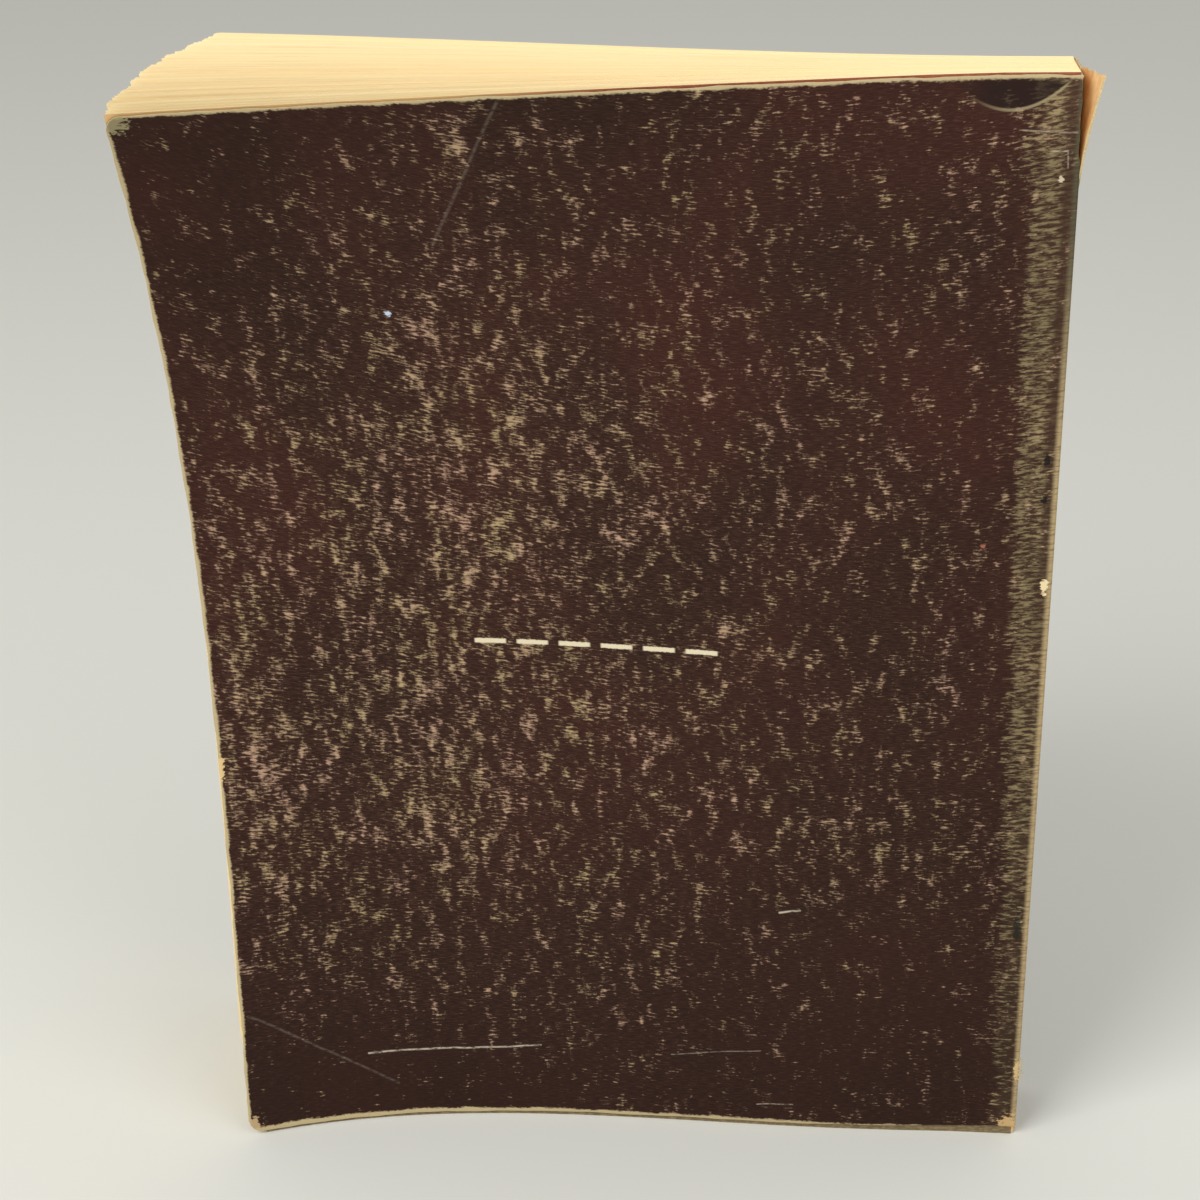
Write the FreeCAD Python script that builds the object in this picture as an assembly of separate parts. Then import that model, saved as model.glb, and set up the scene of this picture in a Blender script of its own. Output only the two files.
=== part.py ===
import FreeCAD, Part
import math
import os

# A large paperback book, standing on its tail with its leaves fanned open.
# +Z runs from the tail to the head. The spine is at +X, the fore edge at -X, and the
# back cover faces -Y. All sizes are in millimetres and all angles in degrees.

# Driving dimensions of the closed book
page_width = 215.9            # spine to fore edge
page_height = 279.4           # tail to head
block_thickness = 22.6        # all leaves pressed together, as at the spine
card_thickness = 0.5          # worn cover card
glue_thickness = 0.6          # dried adhesive between the leaves and the spine panel
binding_depth = 3.0           # how far the adhesive holds the leaves together

# How the leaves are grouped in the fan
leaf_groups = 24
groove_depth = 4.0            # how far the gaps between the groups reach in from their edges
binding_gap_share = 0.1       # part of each group's room at the binding that is air
fore_gap_share = 0.35         # the same at the fore edge
binding_inset = 0.15          # leaves lie this far inside the bound strip

# Clearances
cover_clearance = 0.3         # between a cover and the nearest leaf
hinge_gap = 0.3               # between a cover's hinge edge and the spine panel
panel_end_gap = 0.5           # the spine panel and the adhesive end this far inside the leaves
cover_tail_gap = 1.5          # the covers are worn short by this much at the tail

# The fan. Each swing turns a sheet away from the middle of the book, and is given near
# the spine, half way across and at the fore edge.
back_swing_head = (21.0, 2.5, 21.0)
back_swing_middle = (1.7, -7.8, 21.7)
back_swing_tail = (9.8, 0.5, 25.2)
front_swing_head = (0.0, 14.2, 9.9)
front_swing_tail = (0.0, 8.5, 5.9)
back_gutter = 22.0            # distance over which a back leaf bends out of the binding
front_gutter = 12.0           # the same for a front leaf
head_gather = 4.45            # how closely the back's flare gathers at the head
tail_gather = 2.4             # the same at the tail
tail_shortfall = 0.047        # the curled tail of the back half is this much narrower

# Wear
worn_corner_radius = 4.0      # fore-edge corners of both covers
spine_tail_lift = 1.2         # the back cover is worn shorter by this much at its spine end
lift_reach = 35.0             # distance over which that fades out
tear_height = 27.0            # the spine panel is torn from the back cover this far down
tear_flare = 4.5              # how far the torn corner stands out
torn_share = 0.7              # part of the spine's width that the torn corner bends

# The net of flat facets that every sheet is made of: shares of its width from the spine
# to the fore edge, and of its height from tail to head. All sheets have the same net, so
# neighbours keep their distance all over. Its outermost lines are the floors of the gaps.
ACROSS = (0.0, 0.05, 0.1, 0.16, 0.24, 0.34, 0.46, 0.58, 0.7, 0.81, 0.91,
          1 - groove_depth / page_width, 1.0)
UPWARD = (0.0, groove_depth / page_height, 0.15, 0.32, 0.5, 0.66, 0.8, 0.91,
          1 - groove_depth / page_height, 1.0)
FINE_STEPS = 20               # steps between two places when a path is added up
PANEL_ROWS = 24               # steps up the spine panel
PANEL_COLUMNS = 5             # steps across the spine panel

panel_inner_x = glue_thickness
panel_outer_x = glue_thickness + card_thickness
hinge_offset = cover_clearance + card_thickness


def swing_at(swing, share):
    """Angle of a sheet at a share of its width, by the parabola through three angles."""
    near, middle, far = swing
    return (near * (2 * share - 1) * (share - 1)
            + middle * 4 * share * (1 - share)
            + far * share * (2 * share - 1))


def bend(distance, gutter):
    """0 in the binding and 1 well past the gutter."""
    return 1 - math.exp(-(distance / gutter) ** 2)


def back_angle(share, rise):
    """Plan angle of the back of the fan, which flares at its head and at its tail."""
    head, tail = rise ** head_gather, (1 - rise) ** tail_gather
    swing = (head * swing_at(back_swing_head, share)
             + tail * swing_at(back_swing_tail, share)
             + (1 - head - tail) * swing_at(back_swing_middle, share))
    return -math.radians(swing) * bend(share * page_width, back_gutter)


def front_angle(share, rise):
    """Plan angle of the front of the fan, which opens evenly from tail to head."""
    swing = (1 - rise) * swing_at(front_swing_tail, share) + rise * swing_at(front_swing_head, share)
    return math.radians(swing) * bend(share * page_width, front_gutter)


def leaf_angle(place, share, rise):
    """Plan angle of a leaf. place is 0 at the back of the book and 1 at the front."""
    return (1 - place) * back_angle(share, rise) + place * front_angle(share, rise)


def leaf_plan(place, rise):
    """Plan points and angles of a leaf at one height, at each place across it."""
    x, y = 0.0, place * block_thickness
    narrow = 1 - tail_shortfall * (1 - rise) * (1 - place)
    points = [(x, y, leaf_angle(place, 0.0, rise))]
    for start, end in zip(ACROSS, ACROSS[1:]):
        step = (end - start) / FINE_STEPS
        for count in range(FINE_STEPS):
            angle = leaf_angle(place, start + (count + 0.5) * step, rise)
            x -= math.cos(angle) * step * page_width * narrow
            y += math.sin(angle) * step * page_width * narrow
        points.append((x, y, leaf_angle(place, end, rise)))
    return points


def leaf_grid(place, offset=0.0):
    """Rows of points over a leaf from tail to head, moved sideways by offset.

    Paper does not stretch, so where a leaf leans away from upright its points drop."""
    plans = [leaf_plan(place, rise) for rise in UPWARD]
    heights = [0.0] * len(ACROSS)
    grid = []
    for row, plan in enumerate(plans):
        if row:
            along = (UPWARD[row] - UPWARD[row - 1]) * page_height
            for number, (x, y, _) in enumerate(plan):
                last_x, last_y, _ = plans[row - 1][number]
                sideways = math.hypot(x - last_x, y - last_y)
                heights[number] += math.sqrt(max(along ** 2 - sideways ** 2, 0.0))
        grid.append([FreeCAD.Vector(x + offset * math.sin(angle), y + offset * math.cos(angle), z)
                     for (x, y, angle), z in zip(plan, heights)])
    return grid


def flat_face(points):
    """A flat face round points."""
    return Part.Face(Part.makePolygon(points + points[:1]))


def facets(a, b, c, d):
    """Two flat facets between four points that need not lie in one plane."""
    return [flat_face([a, b, c]), flat_face([a, c, d])]


def strip_facets(one, two):
    """Facets between two rows of points."""
    faces = []
    for a, b, c, d in zip(one, one[1:], two[1:], two):
        faces += facets(a, b, c, d)
    return faces


def net_facets(grid):
    """Facets over a grid of points."""
    faces = []
    for low, high in zip(grid, grid[1:]):
        faces += strip_facets(low, high)
    return faces


def column(grid, number):
    """One upright line of a grid's points."""
    return [row[number] for row in grid]


def rim_facets(inner, outer):
    """Facets between two grids along their tail, head and fore edges."""
    return (strip_facets(inner[0], outer[0])
            + strip_facets(inner[-1], outer[-1])
            + strip_facets(column(inner, -1), column(outer, -1)))


def closed_solid(faces):
    """The solid inside a closed set of faces, with facets in one plane joined."""
    shell = Part.makeShell(faces)
    shell.sewShape()
    solid = Part.makeSolid(shell if shell.ShapeType == "Shell" else shell.Shells[0])
    if solid.Volume < 0:
        solid.reverse()
    return solid.removeSplitter().Solids[0]


def sheet_solid(inner, outer):
    """A thin solid between two grids of points."""
    return closed_solid(net_facets(inner) + net_facets(outer) + rim_facets(inner, outer)
                        + strip_facets(column(inner, 0), column(outer, 0)))


def mix(one, two, shares):
    """A grid between two grids, at a share of the way that changes across the leaf."""
    return [[a + (b - a) * share for a, b, share in zip(row_one, row_two, shares)]
            for row_one, row_two in zip(one, two)]


def start_rows(grid, x):
    """The grid with each row starting at x instead of at the spine."""
    return [[FreeCAD.Vector(x, row[0].y, row[0].z)] + row[1:] for row in grid]


def leaf_group(number):
    """Two grids round one group of leaves, which opens a little towards its fore edge."""
    inset = binding_inset / block_thickness
    pitch = (1 - 2 * inset) / leaf_groups
    near = leaf_grid(inset + number * pitch)
    far = leaf_grid(inset + (number + 1) * pitch)
    fill = [1 - binding_gap_share - (fore_gap_share - binding_gap_share) * share for share in ACROSS]
    return start_rows(near, -binding_depth), start_rows(mix(near, far, fill), -binding_depth)


def groove_wall(grid):
    """Facets of one side of the gap between two groups, along tail, fore edge and head."""
    return (strip_facets(grid[0], grid[1])
            + strip_facets(column(grid, -2)[1:-1], column(grid, -1)[1:-1])
            + strip_facets(grid[-2], grid[-1]))


def groove_floor_line(grid):
    """Where the floor of a gap meets its wall, from the spine round to the spine."""
    return grid[1][:-1] + column(grid, -2)[2:-2] + grid[-2][:-1][::-1]


def groove(one, two):
    """Facets of the whole gap between two groups, with its two ends at the bound strip."""
    root_one, root_two = column(one, 0), column(two, 0)
    return (groove_wall(one) + groove_wall(two)
            + strip_facets(groove_floor_line(one), groove_floor_line(two))
            + strip_facets(root_one[:2], root_two[:2])
            + strip_facets(root_one[-2:], root_two[-2:]))


def bound_strip(groups):
    """Faces of the strip that holds the groups at the spine, open where they join it."""
    heights = [rise * page_height for rise in UPWARD]
    lines = [[FreeCAD.Vector(-binding_depth, 0, z) for z in heights]]
    for near, far in groups:
        lines += [column(near, 0), column(far, 0)]
    lines.append([FreeCAD.Vector(-binding_depth, block_thickness, z) for z in heights])
    back = [FreeCAD.Vector(0, 0, z) for z in (0, page_height)]
    front = [FreeCAD.Vector(0, block_thickness, z) for z in (0, page_height)]
    return ([flat_face([line[0] for line in lines] + [front[0], back[0]]),
             flat_face([line[-1] for line in lines] + [front[1], back[1]]),
             flat_face(lines[0] + back[::-1]),
             flat_face(lines[-1] + front[::-1]),
             flat_face(back + front[::-1])]
            + strip_facets(lines[0], lines[1])
            + strip_facets(lines[-2], lines[-1]))


def make_page_block():
    """All the leaves as one solid, with gaps between their groups all round the edges."""
    groups = [leaf_group(number) for number in range(leaf_groups)]
    faces = bound_strip(groups) + net_facets(groups[0][0]) + net_facets(groups[-1][1])
    for near, far in groups:
        faces += rim_facets(near, far)
    for (_, one), (two, _) in zip(groups, groups[1:]):
        faces += groove(one, two)
    return closed_solid(faces)


def corner_cutter(corner_x, corner_z, up):
    """What a worn corner has lost: a square with a quarter round left in it."""
    radius = worn_corner_radius
    reach = 4 * page_width
    low_z = corner_z - radius if up else corner_z - 2 * radius
    square = Part.makeBox(3 * radius, reach, 3 * radius,
                          FreeCAD.Vector(corner_x - 2 * radius, -reach / 2, low_z))
    centre_z = corner_z - radius if up else corner_z + radius
    round_part = Part.makeCylinder(radius, reach, FreeCAD.Vector(corner_x + radius, -reach / 2, centre_z),
                                   FreeCAD.Vector(0, 1, 0))
    return square.cut(round_part)


def cover_grid(place, offset, tail_lift):
    """A cover's surface: the outermost leaf's, moved out and kept clear of the table."""
    grid = leaf_grid(place, offset)
    start_x = panel_inner_x - hinge_gap
    for row in grid:
        row[0] = FreeCAD.Vector(start_x, row[0].y, row[0].z)
    tail = grid[0]
    for number, share in enumerate(ACROSS):
        lift = cover_tail_gap + tail_lift * math.exp(-(share * page_width / lift_reach) ** 2)
        tail[number] = tail[number] + FreeCAD.Vector(0, 0, lift)
    return grid


def make_cover(place, outward, tail_lift):
    """One cover with its worn fore-edge corners. outward is -1 at the back, 1 at the front."""
    inner = cover_grid(place, outward * cover_clearance, tail_lift)
    outer = cover_grid(place, outward * hinge_offset, tail_lift)
    cover = sheet_solid(inner, outer)
    for row, up in ((-1, True), (0, False)):
        corner = outer[row][-1]
        cover = cover.cut(corner_cutter(corner.x, corner.z, up))
    return cover.Solids[0]


def make_spine_glue():
    """The film of old adhesive on the backs of the leaves."""
    return Part.makeBox(glue_thickness, block_thickness - 2 * binding_inset,
                        page_height - 2 * panel_end_gap,
                        FreeCAD.Vector(0, binding_inset, panel_end_gap))


def panel_grid(x):
    """The spine panel's surface, with its torn corner standing out at the head."""
    low_y = -cover_clearance
    width = block_thickness + 2 * cover_clearance
    head = page_height - panel_end_gap
    rows = []
    for step in range(PANEL_ROWS + 1):
        z = panel_end_gap + (head - panel_end_gap) * step / PANEL_ROWS
        torn = max(0.0, 1 - (head - z) / tear_height)
        row = []
        for share in [count / PANEL_COLUMNS for count in range(PANEL_COLUMNS + 1)]:
            flare = tear_flare * torn ** 1.5 * max(0.0, 1 - share / torn_share) ** 2
            row.append(FreeCAD.Vector(x + flare, low_y + share * width, z))
        rows.append(row)
    return rows


def make_spine_panel():
    """The card over the spine, torn from the back cover at the head."""
    return sheet_solid(panel_grid(panel_inner_x), panel_grid(panel_outer_x))


def build():
    return {
        "page_block": make_page_block(),
        "spine_glue": make_spine_glue(),
        "spine_panel": make_spine_panel(),
        "back_cover": make_cover(0.0, -1, spine_tail_lift),
        "front_cover": make_cover(1.0, 1, 0.0),
    }


def centre_on_base(shapes):
    """Moves the origin to the middle of the box on the table. Returns the move."""
    box = Part.makeCompound(list(shapes.values())).optimalBoundingBox()
    move = FreeCAD.Vector(-box.Center.x, -box.Center.y, -box.ZMin)
    for shape in shapes.values():
        shape.translate(move)
    return move


shapes = build()
move = centre_on_base(shapes)
os.makedirs("parts", exist_ok=True)
for name, shape in shapes.items():
    shape.exportStep("parts/" + name + ".step")
    print(name, "volume", round(shape.Volume, 1), "valid", shape.isValid(), "solids", len(shape.Solids))
print("move", [round(value, 4) for value in move])
print("back hinge", round(panel_inner_x + move.x, 4), round(-hinge_offset + move.y, 4))
print("front hinge", round(panel_inner_x + move.x, 4),
      round(block_thickness + hinge_offset + move.y, 4))
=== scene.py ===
# %% [markdown]
# A worn paperback book
# The book stands on its tail with its leaves fanned open and its back cover to the camera.
# The imported model gives its size and its two hinged covers. This script dresses it: every
# leaf on its own, the covers and the spine as one folded card, the old glue, and the wear.
# The first lines load that model; the boxes of its parts give sizes further down.

# %% Load the frame
import math

import bmesh
import bpy
import numpy as np
from mathutils import Matrix, Vector


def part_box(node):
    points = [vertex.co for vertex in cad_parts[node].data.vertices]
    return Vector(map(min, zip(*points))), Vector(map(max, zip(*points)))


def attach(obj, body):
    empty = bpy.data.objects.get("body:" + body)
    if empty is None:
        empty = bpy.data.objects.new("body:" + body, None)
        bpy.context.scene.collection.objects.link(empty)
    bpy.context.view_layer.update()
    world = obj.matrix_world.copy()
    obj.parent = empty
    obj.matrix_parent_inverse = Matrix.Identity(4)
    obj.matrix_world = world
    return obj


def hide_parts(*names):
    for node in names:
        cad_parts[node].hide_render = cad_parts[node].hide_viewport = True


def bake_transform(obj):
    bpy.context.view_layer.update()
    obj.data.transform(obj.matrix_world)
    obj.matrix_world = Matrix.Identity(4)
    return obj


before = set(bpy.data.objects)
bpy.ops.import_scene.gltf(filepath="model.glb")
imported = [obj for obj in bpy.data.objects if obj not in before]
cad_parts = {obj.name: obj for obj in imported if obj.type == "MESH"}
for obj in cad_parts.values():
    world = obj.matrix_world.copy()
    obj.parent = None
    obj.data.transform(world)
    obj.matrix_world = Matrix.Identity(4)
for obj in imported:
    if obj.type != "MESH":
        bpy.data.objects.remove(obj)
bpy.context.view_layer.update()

# %% [markdown]
# Sizes
# Blender works in metres, and a book is measured in millimetres, so MM turns one into the
# other. The places of the spine and of the back of the block are read from the model. The
# rest are the sizes that a bookbinder would write down.

# %% Sizes
MM = 0.001
PAGE_WIDTH = 215.9 * MM
CARD = 0.5 * MM                # thickness of the cover card
COVER_CLEARANCE = 0.3 * MM     # from the outermost leaf to the card
HINGE_GAP = 0.3 * MM
BINDING_INSET = 0.15 * MM      # the adhesive is this much narrower than the block, each side

glue_low, glue_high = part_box("spine_glue")
SPINE_X = glue_low.x
BACK_Y = glue_low.y - BINDING_INSET
BLOCK = glue_high.y + BINDING_INSET - BACK_Y
GLUE = glue_high.x - glue_low.x
PAGE_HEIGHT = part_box("page_block")[1].z
print("block", round(BLOCK / MM, 2), "mm thick,", round(PAGE_HEIGHT / MM, 1), "mm tall")

# %% [markdown]
# The fan
# Every leaf is glued at the spine and bends on its way to the fore edge. The angle at which
# it leaves the middle of the book changes along it, and adding up small steps along that
# angle draws the leaf from above. The back half flares at its head and at its tail. Paper
# doesn't stretch, so where a leaf leans out its points drop a little. All of this is worked
# out once, as a table over the leaf's place in the book, its height and its width.

# %% The fan's shape
BACK_SWING_HEAD = (21.0, 2.5, 21.0)
BACK_SWING_MIDDLE = (1.7, -7.8, 21.7)
BACK_SWING_TAIL = (9.8, 0.5, 25.2)
FRONT_SWING_HEAD = (0.0, 14.2, 9.9)
FRONT_SWING_TAIL = (0.0, 8.5, 5.9)
BACK_GUTTER = 22.0 * MM
FRONT_GUTTER = 12.0 * MM
HEAD_GATHER = 4.45
TAIL_GATHER = 2.4
TAIL_SHORTFALL = 0.047
TABLE_SIZE = (25, 61, 121)     # places, heights and widths in the table


def swing_at(swing, share):
    """Angle at a share of the width, by the parabola through three angles."""
    near, middle, far = swing
    return (near * (2 * share - 1) * (share - 1) + middle * 4 * share * (1 - share)
            + far * share * (2 * share - 1))


def leaf_angles(place, rise, share):
    """Plan angle of a leaf. place is 0 at the back of the book and 1 at the front."""
    head, tail = rise ** HEAD_GATHER, (1 - rise) ** TAIL_GATHER
    back = (head * swing_at(BACK_SWING_HEAD, share) + tail * swing_at(BACK_SWING_TAIL, share)
            + (1 - head - tail) * swing_at(BACK_SWING_MIDDLE, share))
    front = rise * swing_at(FRONT_SWING_HEAD, share) + (1 - rise) * swing_at(FRONT_SWING_TAIL, share)
    back = -np.radians(back) * (1 - np.exp(-(share * PAGE_WIDTH / BACK_GUTTER) ** 2))
    front = np.radians(front) * (1 - np.exp(-(share * PAGE_WIDTH / FRONT_GUTTER) ** 2))
    return (1 - place) * back + place * front


def running_sum(steps, axis):
    """Adds steps up along an axis, starting from nothing."""
    start = np.zeros_like(np.take(steps, [0], axis=axis))
    return np.concatenate([start, np.cumsum(steps, axis=axis)], axis=axis)


def fan_table():
    """x, y, z and angle over place, rise and share."""
    place, rise, share = np.meshgrid(*[np.linspace(0, 1, count) for count in TABLE_SIZE],
                                     indexing="ij", sparse=True)
    step = PAGE_WIDTH / (TABLE_SIZE[2] - 1) * (1 - TAIL_SHORTFALL * (1 - rise) * (1 - place))
    middle = 0.5 * (share[..., 1:] + share[..., :-1])
    angle = leaf_angles(place, rise, middle)
    x = SPINE_X - running_sum(np.cos(angle) * step, 2)
    y = BACK_Y + place * BLOCK + running_sum(np.sin(angle) * step, 2)
    along = PAGE_HEIGHT / (TABLE_SIZE[1] - 1)
    rises = np.sqrt(along ** 2 - np.diff(x, axis=1) ** 2 - np.diff(y, axis=1) ** 2)
    z = running_sum(rises, 1)
    return np.stack([x, y, z, leaf_angles(place, rise, share) + 0 * x], axis=-1)


FAN = fan_table()


def fan_place(place, s, t):
    """x, y, z and angle in the fan, s from the spine and t up the leaf, by interpolation."""
    shares = (place, t / PAGE_HEIGHT, s / PAGE_WIDTH)
    cell, rest = [], []
    for share, count in zip(shares, TABLE_SIZE):
        at = np.clip(np.asarray(share, float), 0, 1) * (count - 1)
        low = np.minimum(at.astype(int), count - 2)
        cell.append(low)
        rest.append((at - low)[..., None])
    total = 0.0
    for corner in range(8):
        bits = [(corner >> axis) & 1 for axis in range(3)]
        weight = 1.0
        for bit, share in zip(bits, rest):
            weight = weight * (share if bit else 1 - share)
        total = total + weight * FAN[tuple(low + bit for low, bit in zip(cell, bits))]
    return total


print("fan opens", round((FAN[-1, -1, -1, 1] - FAN[0, -1, -1, 1]) / MM, 1), "mm at the head")

# %% [markdown]
# Camera, floor and light
# The camera stands a little right of the book's middle, half a metre in front of it and
# just above its head, and looks down. A pale floor and soft lamps keep the colours as they
# are written.

# %% Camera
CAMERA_RIGHT = -48.3 * MM      # from the spine
CAMERA_BACK = 498.4 * MM       # from the back of the block
CAMERA_UP = 357.7 * MM
PITCH, YAW, ROLL = math.radians(22.38), math.radians(6.85), math.radians(-0.96)
LENS = 66

camera = bpy.data.objects.new("camera", bpy.data.cameras.new("camera"))
camera.data.lens = LENS
camera.matrix_world = (Matrix.Translation((SPINE_X + CAMERA_RIGHT, BACK_Y - CAMERA_BACK, CAMERA_UP))
                       @ Matrix.Rotation(YAW, 4, "Z")
                       @ Matrix.Rotation(math.pi / 2 - PITCH, 4, "X")
                       @ Matrix.Rotation(ROLL, 4, "Z"))
bpy.context.scene.collection.objects.link(camera)
bpy.context.scene.camera = camera
bpy.context.scene.view_settings.view_transform = "Standard"
print("camera at", [round(v, 3) for v in camera.matrix_world.translation])

# %% Floor
FLOOR_SIZE = 6.0


def new_object(name, mesh):
    obj = bpy.data.objects.new(name, mesh)
    bpy.context.scene.collection.objects.link(obj)
    return obj


def new_material(name):
    """A material with nodes: its tree and its shader."""
    material = bpy.data.materials.new(name)
    material.use_nodes = True
    return material, material.node_tree, material.node_tree.nodes["Principled BSDF"]


def floor():
    bm = bmesh.new()
    bmesh.ops.create_grid(bm, x_segments=1, y_segments=1, size=FLOOR_SIZE / 2)
    mesh = bpy.data.meshes.new("floor")
    bm.to_mesh(mesh)
    bm.free()
    material, _, shader = new_material("pale_floor")
    shader.inputs["Base Color"].default_value = (0.72, 0.72, 0.67, 1)
    shader.inputs["Roughness"].default_value = 0.7
    mesh.materials.append(material)
    obj = new_object("floor", mesh)


floor()
print("floor", FLOOR_SIZE, "m wide")

# %% Lamps


def lamp(name, place, aim, size, watts):
    """A square lamp at a place, turned towards its aim."""
    data = bpy.data.lights.new(name, "AREA")
    data.shape = "SQUARE"
    data.size = size
    data.energy = watts
    obj = new_object(name, data)
    direction = Vector(aim) - Vector(place)
    obj.matrix_world = Matrix.Translation(place) @ direction.to_track_quat("-Z", "Y").to_matrix().to_4x4()


BOOK_MIDDLE = (0, 0, 0.12)
lamp("window", (-0.9, -1.1, 1.3), BOOK_MIDDLE, 1.0, 22)
lamp("fill", (1.1, -0.9, 0.9), BOOK_MIDDLE, 1.2, 8)
world = bpy.data.worlds.new("room")
world.use_nodes = True
world.node_tree.nodes["Background"].inputs["Color"].default_value = (1.0, 0.99, 0.96, 1)
world.node_tree.nodes["Background"].inputs["Strength"].default_value = 0.58
bpy.context.scene.world = world
print("lamps", [light.name for light in bpy.data.lights])

# %% [markdown]
# From flat sheets to bent ones
# Leaves and covers start as flat grids, because that is what paper is. A grid is shaped
# while it is flat: cut, worn at its edges and given its thickness. Its flat place is kept
# on every point as an attribute, so that the finish can follow the sheet wherever it goes.
# Then each point moves to its place in the fan.

# %% Sheet tools
SHARP_ANGLE = 40               # degrees: faces that meet at more than this keep a sharp edge


def mesh_points(mesh):
    """The places of a mesh's points, one row each."""
    points = np.empty(len(mesh.vertices) * 3)
    mesh.vertices.foreach_get("co", points)
    return points.reshape(-1, 3)


def place_sheet(mesh, flat, places):
    """Keeps each point's flat place in an attribute and moves the point to its bent place."""
    keep = mesh.attributes.new("flat", "FLOAT_VECTOR", "POINT")
    keep.data.foreach_set("vector", flat.astype(np.float32).ravel())
    mesh.vertices.foreach_set("co", places.astype(np.float32).ravel())
    mesh.update()


def flat_grid(bm, columns, rows):
    """A unit grid whose lines are moved to the given columns and rows."""
    made = bmesh.ops.create_grid(bm, x_segments=len(columns) - 1, y_segments=len(rows) - 1, size=0.5,
                                 matrix=Matrix.Translation((0.5, 0.5, 0)))
    for vert in made["verts"]:
        vert.co.x = columns[round(vert.co.x * (len(columns) - 1))]
        vert.co.y = rows[round(vert.co.y * (len(rows) - 1))]


def eased(low, high, count, ease=0.6):
    """Values from low to high that lie closer together towards both ends."""
    share = np.linspace(0, 1, count)
    share = (1 - ease) * share + ease * (0.5 - 0.5 * np.cos(np.pi * share))
    return low + (high - low) * share


def clip_corner(bm, corner, inward, radius, steps=5):
    """Rounds a corner of a flat sheet by cutting it along lines that touch a circle."""
    centre = Vector((corner[0] + inward[0] * radius, corner[1] + inward[1] * radius, 0))
    for step in range(1, steps):
        turn = math.pi / 2 * step / steps
        out = Vector((-inward[0] * math.cos(turn), -inward[1] * math.sin(turn), 0))
        bmesh.ops.bisect_plane(bm, geom=bm.verts[:] + bm.edges[:] + bm.faces[:], dist=1e-7,
                               plane_co=centre + out * radius, plane_no=out, clear_outer=True)


def wave(seed, place, length):
    """Smooth random values between -1 and 1 along a line, from a few sine waves."""
    rng = np.random.default_rng(seed)
    total = 0.0
    for octave in range(5):
        phase = rng.uniform(0, 2 * math.pi)
        total = total + math.sin(place / length * 2 * math.pi * 1.7 ** octave + phase) * 0.8 ** octave
    return total / 3.4


def thicken(bm, thickness, inner):
    """Gives a flat sheet its thickness, from nothing up, with walls round its rim. The upper
    side gets the first finish, the rim the second and the lower side its own."""
    bmesh.ops.solidify(bm, geom=bm.faces[:], thickness=thickness)
    bmesh.ops.recalc_face_normals(bm, faces=bm.faces[:])
    for vert in bm.verts:
        vert.co.z += thickness
    for face in bm.faces:
        face.material_index = 0 if face.normal.z > 0.9 else inner if face.normal.z < -0.9 else 1


def soften_rim(bm, thickness, radius):
    """Rounds both edges of a thickened sheet's rim a little, as handling does."""
    rim = [edge for edge in bm.edges
           if len(edge.link_faces) == 2 and edge.calc_face_angle() > math.radians(60)]
    bmesh.ops.bevel(bm, geom=rim, offset=radius, segments=2, profile=0.5, affect="EDGES", material=-1)
    for vert in bm.verts:
        vert.co.z = min(max(vert.co.z, 0), thickness)


def finished(bm, name):
    mesh = bpy.data.meshes.new(name)
    bm.to_mesh(mesh)
    bm.free()
    return mesh


def shade_smooth(mesh, angle):
    """Smooth shading, with sharp edges where faces meet at more than an angle."""
    mesh.shade_smooth()
    mesh.set_sharp_from_angle(angle=math.radians(angle))


print("five eased lines", [round(v, 2) for v in eased(0, 1, 5)])

# %% [markdown]
# The leaves
# A couple of hundred leaves of cheap paper. Each is a thin closed sheet. They are evenly
# spaced in the glue, and fan out in clumps, as a handled book's leaves do. Some stand a
# little proud at the head and at the fore edge. The leaf next to the back cover is printed
# brown on its outer side, and shows as a thin line along the head.

# %% Leaves
LEAVES = 180
LEAF = 0.1 * MM
LEAF_COLUMNS = 17
LEAF_ROWS = 12
LEAF_CORNER = 2.2 * MM         # how far the corner by the tail is worn back
WIDE_GAPS = LEAVES // 9
PARTING = 3.5                  # how much wider the gaps between clumps are
CLUMP = 10                     # leaves that stand out together at the fore edge
SOLID_SHARE = 0.5              # of each leaf's step in the flat stack, what is paper
rng = np.random.default_rng(7)


def fanned_shares(rng):
    """Places of the leaves at an edge, between 0 and 1: clumps with wider gaps between."""
    gaps = rng.uniform(0.35, 1.0, LEAVES - 1)
    wide = rng.choice(LEAVES - 1, WIDE_GAPS, replace=False)
    gaps[wide] += rng.uniform(0.5, 1.0, WIDE_GAPS) * PARTING
    return np.concatenate([[0], np.cumsum(gaps)]) / gaps.sum()


def slipped(amount, rng):
    """How far each leaf stands out or falls short: slow drifts with a little noise."""
    drift = np.cumsum(rng.normal(0, 1, LEAVES))
    drift -= np.linspace(drift[0], drift[-1], LEAVES)
    return amount * (0.7 * drift / np.abs(drift).max() + 0.3 * rng.uniform(-1, 1, LEAVES))


spine_shares = np.linspace(0, 1, LEAVES)
head_shares = fanned_shares(rng)
tail_shares = 0.6 * head_shares + 0.4 * fanned_shares(rng)
head_slip = slipped(0.35 * MM, rng)
fore_slip = slipped(1.0 * MM, rng) + np.repeat(rng.uniform(-0.9, 0.9, LEAVES // CLUMP), CLUMP) * MM


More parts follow.
